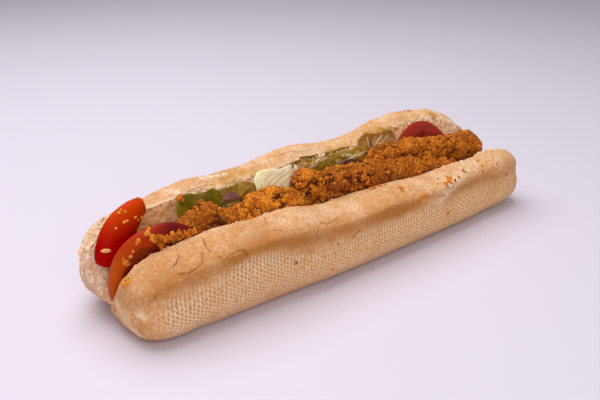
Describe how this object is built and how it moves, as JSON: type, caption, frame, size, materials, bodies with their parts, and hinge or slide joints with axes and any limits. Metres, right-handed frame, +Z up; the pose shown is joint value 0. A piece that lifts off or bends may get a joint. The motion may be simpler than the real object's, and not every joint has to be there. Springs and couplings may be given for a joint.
{
  "type": "chicken fillet roll",
  "caption": "Long crusty bread roll opened along its top and filled with crumbed chicken strips, tomato, lettuce and red onion.",
  "frame": {"origin": "on the table, below the middle of the whole roll", "axes": "+X along the roll, +Y across it towards the higher half, +Z up"},
  "size_m": [0.282, 0.0818, 0.0574],
  "materials": {
    "bread": "dry baked crust, pale gold with browner hollows, and soft white crumb where it is cut",
    "chicken": "rough fried crumb coating, golden orange with dark brown creases, slightly oily",
    "tomato": "wet, glossy red skin over darker flesh",
    "leaf_green": "thin moist leaf with paler veins",
    "leaf_pale": "crisp, wet, nearly white leaf",
    "onion": "wet purple skin and pale flesh"
  },
  "bodies": {
    "root": {"bread": "bread", "chicken_left": "chicken", "chicken_middle": "chicken", "chicken_lump": "chicken", "chicken_back": "chicken", "chicken_front": "chicken", "tomato_slice_left": "tomato", "tomato_slice_right": "tomato", "tomato_wedge": "tomato", "lettuce_green": "leaf_green", "lettuce_olive": "leaf_green", "lettuce_shred": "leaf_green", "lettuce_pale": "leaf_pale", "lettuce_white": "leaf_pale", "onion_left": "onion", "onion_middle": "onion", "onion_right": "onion"}
  },
  "joints": []
}
